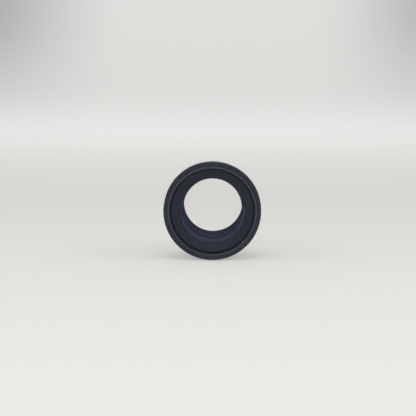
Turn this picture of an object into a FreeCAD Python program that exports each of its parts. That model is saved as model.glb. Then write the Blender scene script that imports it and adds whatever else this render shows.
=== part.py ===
import FreeCAD, Part
import math
import os

# A 1.25 inch telescope eyepiece of the four-element kind, with an eyecup that rises as its collar is
# twisted. Millimetres. Every piece is drawn standing on the shoulder where the nosepiece barrel
# starts: r is the distance from the optical axis, h the height towards the eye. The finished pieces
# are then laid down, so that the optical axis lies along Y with the eye end facing -Y.

V = FreeCAD.Vector
CUT_MARGIN = 1.0  # how far a cutting tool reaches past the metal that it cuts
RUN = 0.1  # radial running clearance between parts that slide or turn on each other
SEAT = 0.02  # radial gap of threads and seats that are screwed or glued home

# Driving dimensions
BARREL_R = 31.75 / 2
BARREL_LENGTH = 28.0
RIM_H = 33.0  # crown of the lowered eyecup's rim
RIM_R = 21.05
SKIRT_R = 21.35
LIP_R = 18.75  # inside the eyecup's rim
LENS_R = 14.3
EYE_LENS_H = 24.6  # outer face of the eye lens
FLINT_CENTRE = 1.6
CROWN_CENTRE = 5.0
LENS_GAP = 0.6  # between the two inner vertices
CEMENT_BEND_R = 43.8
INNER_BEND_R = 57.7
FACE_OPENING_R = 14.05
EYE_RING_R = 13.95
FIELD_RING_R = 13.1
FIELD_STOP_R = 13.5
FIELD_STOP_H = -12.0
FILTER_THREAD_R = 14.1
FILTER_THREAD_LENGTH = 5.0
LIFT = 8.0
TWIST_DEG = 120.0

# Radii of the nested tubes, from the glass outwards
CELL_R = LENS_R + SEAT
CELL_OUTER_R = 15.6
RETAINER_R = 15.0
HOUSING_R = CELL_OUTER_R + SEAT
HOUSING_OUTER_R = 18.0
FRONT_SPIGOT_R = 17.2  # the face ring screws over it
CELL_FLANGE_R = 16.6
CELL_SEAL_SEAT_R = 16.65
CELL_SEAL_R = 16.2
CELL_SEAL_SECTION_R = 0.44
FACE_R = 17.98
SLEEVE_R = HOUSING_OUTER_R + RUN
SLEEVE_OUTER_R = 19.2
SLEEVE_BEAD_R = SLEEVE_OUTER_R + 0.4  # the bead that holds the rubber on
COLLAR_R = SLEEVE_OUTER_R + RUN
COLLAR_OUTER_R = 20.2
FLANGE_R = 20.4
GRIP_OUTER_R = 20.75

# Heights of the joints between parts
FACE_EDGE_H = 28.4
FACE_BACK_H = 25.8
FACE_SKIRT_H = 24.4
SLEEVE_TOP_H = 29.6
SLEEVE_BOTTOM_H = 9.4
RUBBER_BOTTOM_H = 23.4
BEAD_H = 27.0
BEAD_HALF = 0.8
BEAD_FOOT = 1.2  # half height of the bead where it meets the sleeve
COLLAR_TOP_H = 22.9
COLLAR_LIP_H = 8.5
COLLAR_BOTTOM_H = 7.0
COLLAR_FLANGE = 1.0
FLANGE_TOP_H = 6.6
FLANGE_BOTTOM_H = 4.0
SPIGOT_R = 17.5
HOUSING_BOTTOM_H = 1.2
BARREL_FLANGE_R = 16.3
BARREL_TOP_H = 7.0
BARREL_BORE_R = 14.3
RELIEF_R = 15.5  # groove between the barrel's wall and the shoulder
BARREL_BEVEL = 0.3  # at the mouth of the filter thread
UNDERCUT_FRONT_H = -7.5
UNDERCUT_BACK_H = -17.0
UNDERCUT_SLOPE = 1.0
UNDERCUT_DEPTH = 0.6
GLARE_BAFFLE_H = -3.0
GLARE_BAFFLE_R = 13.8

# Eyecup guides
PIN_R = 0.75
PIN_TIP_R = 17.1
PIN_H = 11.2
GROOVE_HALF = PIN_R + RUN
GROOVE_FLOOR_R = 17.0
PIN_ANGLES = (60.0, 180.0, 300.0)
KEY_ANGLES = (0.0, 120.0, 240.0)
KEY_WIDTH = 2.4
KEY_TIP_R = 18.75
KEY_BACK_R = 19.75
KEY_TOP_H = 22.3
KEY_BOTTOM_H = 13.0
SLOT_TOP_H = 22.8

# Snap ring and friction ring on the housing
SNAP_BOTTOM_H = COLLAR_BOTTOM_H + COLLAR_FLANGE + RUN
SNAP_THICKNESS = 0.9
SNAP_FLOOR_R = 17.25
SNAP_OUTER_R = 19.1
SNAP_GAP = 5.0
FRICTION_H = 22.0
FRICTION_FLOOR_R = 17.2
FRICTION_SECTION_R = 0.42

# Click stop
BALL_R = 0.6
BALL_CIRCLE_R = 19.2
BALL_H = 6.75
BALL_ANGLE = 90.0
BALL_HOLE_R = BALL_R + 0.05
BALL_HOLE_BOTTOM_H = 4.4
CLICKS = 4
SPRING_WIRE = 0.2
SPRING_OUTER_R = 0.55
SPRING_PITCH = 0.5
WASHER_R = 18.4

# Outside details
GRIP_FLUTES = 36
FLUTE_R = 1.15
FLUTE_DEPTH = 0.4
SCREW_ANGLES = (90.0, 210.0, 330.0)
SCREW_R = 0.85
SCREW_H = 2.6
SCREW_SOCKET = 0.8  # across the flats
SCREW_SOCKET_DEPTH = 0.9
SCREW_BITE = 0.5  # how far the screws reach into the spigot


def rounded_edges(corners):
    """Straight edges through the corners (r, h), with a tangent arc at each (r, h, radius)."""
    count = len(corners)
    cuts = []
    for i, corner in enumerate(corners):
        here = V(corner[0], 0, corner[1])
        before = V(corners[i - 1][0], 0, corners[i - 1][1])
        after = V(corners[(i + 1) % count][0], 0, corners[(i + 1) % count][1])
        radius = corner[2] if len(corner) > 2 else 0
        if not radius:
            cuts.append((here, here, None))
            continue
        back = (before - here).normalize()
        ahead = (after - here).normalize()
        half_angle = back.getAngle(ahead) / 2
        reach = radius / math.tan(half_angle)
        inward = (back + ahead).normalize()
        middle = here + inward * (radius / math.sin(half_angle) - radius)
        cuts.append((here + back * reach, here + ahead * reach, middle))
    edges = []
    for i, (start, end, middle) in enumerate(cuts):
        if middle is not None:
            edges.append(Part.Arc(start, middle, end).toShape())
        following = cuts[(i + 1) % count][0]
        if end.distanceToPoint(following) > 1e-6:
            edges.append(Part.LineSegment(end, following).toShape())
    return edges


def turned(edges):
    """A solid of revolution about the optical axis from closed edges in the r-h plane."""
    face = Part.Face(Part.Wire(Part.__sortEdges__(edges)))
    return face.revolve(V(0, 0, 0), V(0, 0, 1), 360)


def ring(*corners):
    return turned(rounded_edges(corners))


def tube(inner, outer, bottom, top):
    return ring((inner, bottom), (outer, bottom), (outer, top), (inner, top))


def torus(centre_r, height, section_r):
    return Part.makeTorus(centre_r, section_r, V(0, 0, height), V(0, 0, 1))


def around(shape, angle):
    """A copy of shape, turned about the optical axis."""
    copy = shape.copy()
    copy.rotate(V(0, 0, 0), V(0, 0, 1), angle)
    return copy


def radial_pin(radius, inner, outer, height, angle):
    """A round bar that points outwards from the axis."""
    return around(Part.makeCylinder(radius, outer - inner, V(inner, 0, height), V(1, 0, 0)), angle)


def laid_down(shape):
    """Turns the standing eyepiece so that its eye end faces -Y."""
    shape.rotate(V(0, 0, 0), V(1, 0, 0), 90)
    return shape


def sag(bend_r, r):
    return bend_r - math.sqrt(bend_r**2 - r**2)


def lens(top_h, top_bend, bottom_h, bottom_bend):
    """A lens between two vertices. A positive bend bulges towards the eye and a negative one away."""

    def surface(vertex_h, bend):
        def point(r):
            drop = math.copysign(sag(abs(bend), r), bend) if bend else 0
            return V(r, 0, vertex_h - drop)

        start, edge = point(0), point(LENS_R)
        shape = Part.Arc(start, point(LENS_R / 2), edge) if bend else Part.LineSegment(start, edge)
        return shape.toShape(), edge

    top, top_edge = surface(top_h, top_bend)
    bottom, bottom_edge = surface(bottom_h, bottom_bend)
    rim = Part.LineSegment(top_edge, bottom_edge).toShape()
    axis = Part.LineSegment(V(0, 0, bottom_h), V(0, 0, top_h)).toShape()
    return turned([top, rim, bottom, axis])


def optics():
    """Two cemented pairs, flints outermost, that face each other across a spacer."""
    eye_cement_h = EYE_LENS_H - FLINT_CENTRE
    eye_inner_h = eye_cement_h - CROWN_CENTRE
    field_inner_h = eye_inner_h - LENS_GAP
    field_cement_h = field_inner_h - CROWN_CENTRE
    field_lens_h = field_cement_h - FLINT_CENTRE
    spacer_r = 13.7
    spacer_reach = sag(INNER_BEND_R, spacer_r)
    ring_grip = 1.2
    return {
        "eye_lens_flint": lens(EYE_LENS_H, 0, eye_cement_h, CEMENT_BEND_R),
        "eye_lens_crown": lens(eye_cement_h, CEMENT_BEND_R, eye_inner_h, -INNER_BEND_R),
        "lens_spacer": tube(spacer_r, LENS_R - SEAT, field_inner_h - spacer_reach,
                            eye_inner_h + spacer_reach),
        "field_lens_crown": lens(field_inner_h, INNER_BEND_R, field_cement_h, -CEMENT_BEND_R),
        "field_lens_flint": lens(field_cement_h, -CEMENT_BEND_R, field_lens_h, 0),
        "eye_retaining_ring": slotted_ring(EYE_RING_R, EYE_LENS_H, EYE_LENS_H + ring_grip),
        "field_retaining_ring": slotted_ring(FIELD_RING_R, field_lens_h - 1.6, field_lens_h),
    }


def slotted_ring(inner, bottom, top):
    """A threaded retaining ring with two spanner slots across the face that looks away from the glass."""
    body = ring((inner, bottom), (RETAINER_R, bottom), (RETAINER_R, top), (inner, top))
    slot_width = 1.2
    slot_depth = 0.6
    outward_h = top if bottom == EYE_LENS_H else bottom
    slot = Part.makeBox(2 * RIM_R, slot_width, 2 * slot_depth,
                        V(-RIM_R, -slot_width / 2, outward_h - slot_depth))
    return body.cut(slot)


def lens_cell():
    """The inner tube that holds all four lenses, with a seat for a retaining ring at each end."""
    field_seat_h = EYE_LENS_H - 2 * (FLINT_CENTRE + CROWN_CENTRE) - LENS_GAP
    bottom = field_seat_h - 2.6
    thread_r = RETAINER_R + SEAT
    flange_bottom = FACE_BACK_H - 1.0
    return ring(
        (CELL_R, field_seat_h), (thread_r, field_seat_h), (thread_r, bottom), (CELL_OUTER_R, bottom, 0.2),
        (CELL_OUTER_R, flange_bottom), (CELL_FLANGE_R, flange_bottom), (CELL_FLANGE_R, FACE_BACK_H),
        (thread_r, FACE_BACK_H), (thread_r, EYE_LENS_H), (CELL_R, EYE_LENS_H),
    )


def helical_bar(pitch, height, inner, outer, half_height):
    """A bar of rectangular section that climbs along a helix about the axis."""
    path = Part.Wire(Part.makeHelix(pitch, height, (inner + outer) / 2).Edges)
    section = Part.makePolygon([
        V(inner, 0, -half_height), V(outer, 0, -half_height), V(outer, 0, half_height),
        V(inner, 0, half_height), V(inner, 0, -half_height),
    ])
    sweep = Part.BRepOffsetAPI.MakePipeShell(path)
    sweep.setBiNormalMode(V(0, 0, 1))
    sweep.add(section)
    sweep.build()
    sweep.makeSolid()
    return sweep.shape()


def helical_groove():
    """The room that a guide pin sweeps in the housing as the eyecup rises and turns."""
    lead = LIFT * 360.0 / TWIST_DEG
    outer = HOUSING_OUTER_R + CUT_MARGIN
    slope = math.atan2(lead, 2 * math.pi * (GROOVE_FLOOR_R + outer) / 2)
    groove = helical_bar(lead, LIFT, GROOVE_FLOOR_R, outer, GROOVE_HALF / math.cos(slope))
    groove.translate(V(0, 0, PIN_H))
    start = radial_pin(GROOVE_HALF, GROOVE_FLOOR_R, outer, PIN_H, 0)
    end = radial_pin(GROOVE_HALF, GROOVE_FLOOR_R, outer, PIN_H + LIFT, TWIST_DEG)
    return groove.fuse([start, end])


def main_housing():
    """The turned body: guide tube in front, click-stop flange, and the spigot that the skirt screws onto."""
    seal_seat_h = FACE_BACK_H - 2.0
    bore_step_h = BARREL_TOP_H + 0.3
    barrel_seat_r = BARREL_FLANGE_R + SEAT
    body = ring(
        (HOUSING_R, bore_step_h), (barrel_seat_r, bore_step_h), (barrel_seat_r, HOUSING_BOTTOM_H),
        (SPIGOT_R, HOUSING_BOTTOM_H, 0.2), (SPIGOT_R, FLANGE_BOTTOM_H), (FLANGE_R, FLANGE_BOTTOM_H),
        (FLANGE_R, FLANGE_TOP_H, 0.35), (HOUSING_OUTER_R, FLANGE_TOP_H), (HOUSING_OUTER_R, FACE_SKIRT_H),
        (FRONT_SPIGOT_R, FACE_SKIRT_H), (FRONT_SPIGOT_R, FACE_BACK_H), (CELL_SEAL_SEAT_R, FACE_BACK_H),
        (CELL_SEAL_SEAT_R, seal_seat_h), (HOUSING_R, seal_seat_h),
    )
    past = HOUSING_OUTER_R + CUT_MARGIN
    cutters = [around(helical_groove(), angle) for angle in PIN_ANGLES]
    cutters.append(tube(SNAP_FLOOR_R, past, SNAP_BOTTOM_H - SEAT, SNAP_BOTTOM_H + SNAP_THICKNESS + SEAT))
    friction_half = 0.55
    cutters.append(tube(FRICTION_FLOOR_R, past, FRICTION_H - friction_half, FRICTION_H + friction_half))
    ball_hole_depth = FLANGE_TOP_H - BALL_HOLE_BOTTOM_H
    ball_hole = Part.makeCylinder(BALL_HOLE_R, ball_hole_depth + CUT_MARGIN,
                                  V(BALL_CIRCLE_R, 0, BALL_HOLE_BOTTOM_H))
    cutters.append(around(ball_hole, BALL_ANGLE))
    for angle in SCREW_ANGLES:
        cutters.append(radial_pin(SCREW_R, SPIGOT_R - SCREW_BITE, RIM_R, SCREW_H, angle))
    return body.cut(cutters)


def lower_skirt():
    """The tapered cover behind the flange. Its rear face is the shoulder that seats in the focuser."""
    lip_r = BARREL_R + 0.05
    spigot_r = SPIGOT_R + SEAT
    shoulder_r = 18.0
    body = ring(
        (lip_r, 0), (shoulder_r, 0, 0.4), (FLANGE_R, 3.0, 0.8), (FLANGE_R, FLANGE_BOTTOM_H, 0.2),
        (spigot_r, FLANGE_BOTTOM_H), (spigot_r, HOUSING_BOTTOM_H), (lip_r, HOUSING_BOTTOM_H),
    )
    return body.cut([radial_pin(SCREW_R, SPIGOT_R - SCREW_BITE, RIM_R, SCREW_H, a) for a in SCREW_ANGLES])


def grub_screws():
    """Three socket set screws that lock the skirt to the housing, a little below its surface."""
    outer = SPIGOT_R + 1.4
    screws = []
    for angle in SCREW_ANGLES:
        body = radial_pin(SCREW_R, SPIGOT_R - SCREW_BITE, outer, SCREW_H, angle)
        corner_r = SCREW_SOCKET / math.sqrt(3)
        corners = [V(outer - SCREW_SOCKET_DEPTH, corner_r * math.cos(math.radians(60 * k)),
                     SCREW_H + corner_r * math.sin(math.radians(60 * k))) for k in range(7)]
        socket = Part.Face(Part.makePolygon(corners)).extrude(V(SCREW_SOCKET_DEPTH + CUT_MARGIN, 0, 0))
        screws.append(body.cut(around(socket, angle)))
    return Part.Compound(screws)


def face_ring():
    """The dished front ring round the eye lens, whose skirt screws over the housing."""
    spigot_r = FRONT_SPIGOT_R + SEAT
    land = 0.8
    dish = 1.3
    lip = 0.3
    return ring(
        (FACE_OPENING_R, FACE_BACK_H), (spigot_r, FACE_BACK_H), (spigot_r, FACE_SKIRT_H),
        (FACE_R, FACE_SKIRT_H), (FACE_R, FACE_EDGE_H, 0.25), (FACE_R - land, FACE_EDGE_H, 0.5),
        (FACE_OPENING_R + lip, FACE_EDGE_H - dish, 0.2), (FACE_OPENING_R, FACE_EDGE_H - dish - lip),
    )


def barrel():
    """The nosepiece, with a relief at the shoulder, a safety undercut and a filter thread in its mouth."""
    end = -BARREL_LENGTH
    thread_end = end + BARREL_BEVEL
    thread_top = thread_end + FILTER_THREAD_LENGTH
    undercut_r = BARREL_R - UNDERCUT_DEPTH
    return ring(
        (BARREL_BORE_R, BARREL_TOP_H), (BARREL_BORE_R, thread_top), (FILTER_THREAD_R, thread_top),
        (FILTER_THREAD_R, thread_end), (FILTER_THREAD_R + BARREL_BEVEL, end), (BARREL_R, end, 0.5),
        (BARREL_R, UNDERCUT_BACK_H), (undercut_r, UNDERCUT_BACK_H + UNDERCUT_SLOPE),
        (undercut_r, UNDERCUT_FRONT_H - UNDERCUT_SLOPE), (BARREL_R, UNDERCUT_FRONT_H),
        (BARREL_R, 0), (RELIEF_R, 0), (RELIEF_R, HOUSING_BOTTOM_H), (BARREL_FLANGE_R, HOUSING_BOTTOM_H),
        (BARREL_FLANGE_R, BARREL_TOP_H),
    )


def knife_ring(inner, height):
    """A thin ring glued in the barrel's bore, bevelled on both faces to a sharp inner edge."""
    seat_r = BARREL_BORE_R - SEAT
    edge = 0.1
    bevel = 0.4
    rim = 0.9
    return ring(
        (inner, height - edge), (inner + bevel, height - bevel), (seat_r, height - rim),
        (seat_r, height + rim), (inner + bevel, height + bevel), (inner, height + edge),
    )


def snap_ring():
    """The open spring ring that keeps the collar on the housing."""
    body = tube(SNAP_FLOOR_R + 0.05, SNAP_OUTER_R, SNAP_BOTTOM_H, SNAP_BOTTOM_H + SNAP_THICKNESS)
    gap = Part.makeBox(RIM_R, SNAP_GAP, 2 * SNAP_THICKNESS, V(0, -SNAP_GAP / 2, SNAP_BOTTOM_H - 0.5))
    return body.cut(around(gap, 30))


def detent_spring():
    """The flat-wire coil that pushes the click ball, pressed between the ball and the hole's floor."""
    end_gap = SPRING_WIRE / 2 + 0.05
    bottom = BALL_HOLE_BOTTOM_H + end_gap
    top = BALL_H - BALL_R - end_gap
    coil = helical_bar(SPRING_PITCH, top - bottom, SPRING_OUTER_R - SPRING_WIRE, SPRING_OUTER_R,
                       SPRING_WIRE / 2)
    coil.translate(V(BALL_CIRCLE_R, 0, bottom))
    return around(coil, BALL_ANGLE)


def twist_collar():
    """The ring that the hand turns. Its inner flange runs between the snap ring and the thrust washer."""
    inner_flange_top = COLLAR_BOTTOM_H + COLLAR_FLANGE
    body = ring(
        (SLEEVE_R, COLLAR_BOTTOM_H), (FLANGE_R, COLLAR_BOTTOM_H, 0.3), (FLANGE_R, COLLAR_LIP_H),
        (COLLAR_OUTER_R, COLLAR_LIP_H), (COLLAR_OUTER_R, COLLAR_TOP_H, 0.3), (COLLAR_R, COLLAR_TOP_H),
        (COLLAR_R, inner_flange_top), (SLEEVE_R, inner_flange_top),
    )
    track = torus(BALL_CIRCLE_R, BALL_H, BALL_R + RUN)
    dimple = Part.makeSphere(BALL_R + 2 * RUN, V(BALL_CIRCLE_R, 0, BALL_H))
    click_angle = TWIST_DEG / (CLICKS - 1)
    cutters = [track]
    cutters += [around(dimple, BALL_ANGLE - k * click_angle) for k in range(CLICKS)]
    cutters += [key_box(angle, SEAT) for angle in KEY_ANGLES]
    return body.cut(cutters)


def key_box(angle, gap=0.0):
    """The space of one drive key, grown by gap on every side."""
    half = KEY_WIDTH / 2 + gap
    depth = KEY_BACK_R - KEY_TIP_R
    box = Part.makeBox(depth + 2 * gap, 2 * half, KEY_TOP_H - KEY_BOTTOM_H + 2 * gap,
                       V(KEY_TIP_R - gap, -half, KEY_BOTTOM_H - gap))
    return around(box, angle)


def drive_keys():
    """Three keys let into the collar that turn the sleeve and let it slide."""
    return Part.Compound([key_box(angle) for angle in KEY_ANGLES])


def collar_grip():
    """The fluted rubber band on the collar."""
    bottom = COLLAR_LIP_H + 0.1
    top = COLLAR_TOP_H - 0.5
    body = ring((COLLAR_OUTER_R, bottom), (GRIP_OUTER_R, bottom, 0.25), (GRIP_OUTER_R, top, 0.25),
                (COLLAR_OUTER_R, top))
    end_band = 1.3
    flute = Part.makeCylinder(FLUTE_R, top - bottom - 2 * end_band,
                              V(GRIP_OUTER_R - FLUTE_DEPTH + FLUTE_R, 0, bottom + end_band))
    return body.cut([around(flute, 360.0 * k / GRIP_FLUTES) for k in range(GRIP_FLUTES)])


def eyecup_sleeve():
    """The tube that carries the rubber eyecup up and down, with slots for the drive keys."""
    body = ring(
        (SLEEVE_R, SLEEVE_BOTTOM_H, 0.2), (SLEEVE_OUTER_R, SLEEVE_BOTTOM_H, 0.2),
        (SLEEVE_OUTER_R, BEAD_H - BEAD_FOOT), (SLEEVE_BEAD_R, BEAD_H - BEAD_HALF),
        (SLEEVE_BEAD_R, BEAD_H + BEAD_HALF),
        (SLEEVE_OUTER_R, BEAD_H + BEAD_FOOT), (SLEEVE_OUTER_R, SLEEVE_TOP_H), (SLEEVE_R, SLEEVE_TOP_H, 0.15),
    )
    slot_half = KEY_WIDTH / 2 + RUN
    slot = Part.makeBox(2 * CUT_MARGIN, 2 * slot_half, SLOT_TOP_H - SLEEVE_BOTTOM_H + CUT_MARGIN,
                        V(KEY_TIP_R - RUN, -slot_half, SLEEVE_BOTTOM_H - CUT_MARGIN))
    cutters = [around(slot, angle) for angle in KEY_ANGLES]
    cutters += [radial_pin(PIN_R, SLEEVE_R - 0.5, RIM_R, PIN_H, angle) for angle in PIN_ANGLES]
    return body.cut(cutters)


def guide_pins():
    """Three screws in the sleeve whose tips follow the housing's helical grooves."""
    head_r = SLEEVE_OUTER_R - 0.1
    slot_width = 0.3
    slot_depth = 0.4
    pins = []
    for angle in PIN_ANGLES:
        pin = radial_pin(PIN_R, PIN_TIP_R, head_r, PIN_H, angle)
        slot = Part.makeBox(CUT_MARGIN, slot_width, 4 * PIN_R,
                            V(head_r - slot_depth, -slot_width / 2, PIN_H - 2 * PIN_R))
        pins.append(pin.cut(around(slot, angle)))
    return Part.Compound(pins)


def eyecup_rubber():
    """The soft cup on the sleeve. A narrow bead and a wide bead at its rim meet the eye socket."""
    narrow_bead_r = LIP_R + 0.55
    valley_r = LIP_R + 0.75
    return ring(
        (SLEEVE_OUTER_R, RUBBER_BOTTOM_H), (SKIRT_R, RUBBER_BOTTOM_H, 0.35), (RIM_R, RIM_H, 0.75),
        (valley_r + 0.2, RIM_H - 0.05, 0.3), (valley_r, RIM_H - 0.4, 0.1),
        (narrow_bead_r, RIM_H - 0.2, 0.15), (LIP_R, RIM_H - 0.2, 0.35),
        (LIP_R, SLEEVE_TOP_H), (SLEEVE_OUTER_R, SLEEVE_TOP_H),
        (SLEEVE_OUTER_R, BEAD_H + BEAD_FOOT), (SLEEVE_BEAD_R, BEAD_H + BEAD_HALF),
        (SLEEVE_BEAD_R, BEAD_H - BEAD_HALF),
        (SLEEVE_OUTER_R, BEAD_H - BEAD_FOOT),
    )


def pieces():
    """Every separate piece of the eyepiece, by name."""
    return {
        **optics(),
        "lens_cell": lens_cell(),
        "cell_o_ring": torus(CELL_SEAL_R, FACE_BACK_H - 1.5, CELL_SEAL_SECTION_R),
        "face_ring": face_ring(),
        "main_housing": main_housing(),
        "friction_o_ring": torus(FRICTION_FLOOR_R + FRICTION_SECTION_R, FRICTION_H, FRICTION_SECTION_R),
        "lower_skirt": lower_skirt(),
        "skirt_grub_screws": grub_screws(),
        "barrel": barrel(),
        "glare_baffle": knife_ring(GLARE_BAFFLE_R, GLARE_BAFFLE_H),
        "field_stop": knife_ring(FIELD_STOP_R, FIELD_STOP_H),
        "collar_snap_ring": snap_ring(),
        "thrust_washer": tube(HOUSING_OUTER_R + SEAT, WASHER_R, FLANGE_TOP_H, COLLAR_BOTTOM_H - 0.05),
        "detent_ball": around(Part.makeSphere(BALL_R, V(BALL_CIRCLE_R, 0, BALL_H)), BALL_ANGLE),
        "detent_spring": detent_spring(),
        "twist_collar": twist_collar(),
        "drive_keys": drive_keys(),
        "collar_grip": collar_grip(),
        "eyecup_sleeve": eyecup_sleeve(),
        "guide_pins": guide_pins(),
        "eyecup_rubber": eyecup_rubber(),
    }


os.makedirs("parts", exist_ok=True)
for name, shape in pieces().items():
    laid_down(shape).exportStep(f"parts/{name}.step")
    print(f"{name}: {len(shape.Solids)} solid(s), {shape.Volume:.1f} mm3, valid {shape.isValid()}")
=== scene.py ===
import math

import bmesh
import bpy
from mathutils import Matrix, Vector


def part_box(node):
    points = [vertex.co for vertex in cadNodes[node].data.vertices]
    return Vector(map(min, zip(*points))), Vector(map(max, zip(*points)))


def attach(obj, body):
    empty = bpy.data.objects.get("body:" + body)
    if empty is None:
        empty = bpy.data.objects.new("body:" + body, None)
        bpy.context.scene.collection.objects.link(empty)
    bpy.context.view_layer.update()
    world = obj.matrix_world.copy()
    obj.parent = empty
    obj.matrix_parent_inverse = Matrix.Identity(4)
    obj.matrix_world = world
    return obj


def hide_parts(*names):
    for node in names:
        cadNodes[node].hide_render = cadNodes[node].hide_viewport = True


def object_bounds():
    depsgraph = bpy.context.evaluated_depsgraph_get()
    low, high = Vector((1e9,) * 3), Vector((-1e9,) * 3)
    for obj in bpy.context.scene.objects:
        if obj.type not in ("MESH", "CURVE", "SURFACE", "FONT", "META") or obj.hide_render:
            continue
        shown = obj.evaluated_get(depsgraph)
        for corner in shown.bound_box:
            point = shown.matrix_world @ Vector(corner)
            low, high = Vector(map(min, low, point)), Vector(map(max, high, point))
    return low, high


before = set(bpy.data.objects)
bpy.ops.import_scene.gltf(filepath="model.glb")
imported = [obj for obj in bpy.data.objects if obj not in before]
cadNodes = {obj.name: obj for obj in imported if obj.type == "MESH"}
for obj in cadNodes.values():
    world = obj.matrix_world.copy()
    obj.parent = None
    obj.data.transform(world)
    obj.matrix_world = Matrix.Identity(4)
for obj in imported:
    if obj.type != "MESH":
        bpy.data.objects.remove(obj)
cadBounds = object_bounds()
scene = bpy.context.scene
mm = 0.001
fullTurn = 2 * math.pi
print("frame loaded:", len(cadNodes), "nodes")


def putInScene(name, data):
    thing = bpy.data.objects.new(name, data)
    scene.collection.objects.link(thing)
    return thing


def toMesh(name, bm):
    bmesh.ops.recalc_face_normals(bm, faces=bm.faces)
    mesh = bpy.data.meshes.new(name)
    bm.to_mesh(mesh)
    bm.free()
    return mesh


def spanOf(node):
    # how far a round part reaches from the axis and along it, in millimetres
    reach = [math.hypot(v.co.x, v.co.z) / mm for v in cadNodes[node].data.vertices]
    low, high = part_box(node)
    return {"inner": min(reach), "outer": max(reach), "front": low.y / mm, "back": high.y / mm}


# ---- shader helpers

def startMaterial(name, settings):
    # settings are Principled sockets that are the same all over the surface; colours are red, green, blue
    material = bpy.data.materials.new(name)
    material.use_nodes = True
    shader = material.node_tree.nodes["Principled BSDF"]
    for socket, value in settings.items():
        shader.inputs[socket].default_value = (*value, 1.0) if isinstance(value, tuple) else value
    return material, material.node_tree, shader


def addNode(tree, kind, inputs=None, **attributes):
    # an input is a value, a socket, or a node whose first output is used
    node = tree.nodes.new(kind)
    for key, value in attributes.items():
        setattr(node, key, value)
    for key, value in (inputs or {}).items():
        if isinstance(value, bpy.types.Node):
            value = value.outputs[0]
        if isinstance(value, bpy.types.NodeSocket):
            tree.links.new(value, node.inputs[key])
        else:
            node.inputs[key].default_value = value
    return node


def doMath(tree, operation, first, second=0.0):
    return addNode(tree, "ShaderNodeMath", {0: first, 1: second}, operation=operation).outputs[0]


def objectPoint(tree):
    return addNode(tree, "ShaderNodeTexCoord").outputs["Object"]


def axisDistance(tree):
    # distance from the optical axis, in metres
    parts = addNode(tree, "ShaderNodeSeparateXYZ", {0: objectPoint(tree)})
    flat = addNode(tree, "ShaderNodeCombineXYZ", {0: parts.outputs[0], 1: parts.outputs[2]})
    return addNode(tree, "ShaderNodeVectorMath", {0: flat}, operation="LENGTH").outputs["Value"]


def grain(tree, scale, detail=3.0):
    noise = addNode(tree, "ShaderNodeTexNoise", {"Vector": objectPoint(tree), "Scale": scale,
                                                 "Detail": detail, "Roughness": 0.55})
    return noise.outputs["Fac"]


def turningMarks(tree, scale):
    # rings left by a turning tool: noise that changes only with distance from the axis and along it
    parts = addNode(tree, "ShaderNodeSeparateXYZ", {0: objectPoint(tree)})
    point = addNode(tree, "ShaderNodeCombineXYZ", {0: axisDistance(tree), 1: parts.outputs[1]})
    noise = addNode(tree, "ShaderNodeTexNoise", {"Vector": point, "Scale": scale, "Detail": 2.0})
    return noise.outputs["Fac"]


def spread(tree, factor, low=0.0, high=1.0):
    # stretches a 0.3..0.7 noise to low..high
    return addNode(tree, "ShaderNodeMapRange", {"Value": factor, "From Min": 0.3, "From Max": 0.7,
                                                "To Min": low, "To Max": high}).outputs["Result"]


def ramp(tree, value, low, high):
    # 0 below low, 1 above high, smooth between
    return addNode(tree, "ShaderNodeMapRange", {"Value": value, "From Min": low, "From Max": high},
                   interpolation_type="SMOOTHSTEP").outputs["Result"]


def blendColour(tree, factor, first, second):
    mix = addNode(tree, "ShaderNodeMix", {0: factor}, data_type="RGBA")
    for index, colour in ((6, first), (7, second)):
        if isinstance(colour, bpy.types.NodeSocket):
            tree.links.new(colour, mix.inputs[index])
        else:
            mix.inputs[index].default_value = (*colour, 1.0)
    return mix.outputs[2]


def coat(tree, shader, colour, marks, look):
    # marks wander between the look's two roughnesses
    tree.links.new(colour, shader.inputs["Base Color"])
    tree.links.new(spread(tree, marks, look["smooth"], look["rough"]), shader.inputs["Roughness"])


def roughen(tree, shader, height, distance, strength):
    bump = addNode(tree, "ShaderNodeBump", {"Height": height, "Distance": distance, "Strength": strength})
    tree.links.new(bump.outputs["Normal"], shader.inputs["Normal"])


def edgeWear(tree, low, high):
    # 1 on convex edges that hands rub, 0 elsewhere
    pointiness = addNode(tree, "ShaderNodeNewGeometry").outputs["Pointiness"]
    return addNode(tree, "ShaderNodeMapRange", {"Value": pointiness, "From Min": low, "From Max": high},
                   clamp=True).outputs["Result"]


# ---- camera, floor and light

shot = {
    "distance": 0.510, "elevation": 4.5, "azimuth": 0.43,
    "aimRight": -1.8 * mm, "aimUp": 1.55 * mm,  # the part stands a little off the frame's centre
    "focalLength": 102.7, "sensor": 36.0,
}


def placeCamera():
    low, high = cadBounds
    rimCentre = Vector((0.0, low[1], 0.0))
    azimuth = math.radians(shot["azimuth"])
    elevation = math.radians(shot["elevation"])
    back = Vector((math.sin(azimuth) * math.cos(elevation), -math.cos(azimuth) * math.cos(elevation),
                   math.sin(elevation)))
    data = bpy.data.cameras.new("shotCamera")
    data.lens = shot["focalLength"]
    data.sensor_width = shot["sensor"]
    data.clip_start = 0.01
    camera = putInScene("shotCamera", data)
    camera.location = rimCentre + back * shot["distance"]
    aim = rimCentre + Vector((shot["aimRight"], 0.0, shot["aimUp"]))
    camera.rotation_euler = (aim - camera.location).to_track_quat("-Z", "Y").to_euler()
    scene.camera = camera


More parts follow.
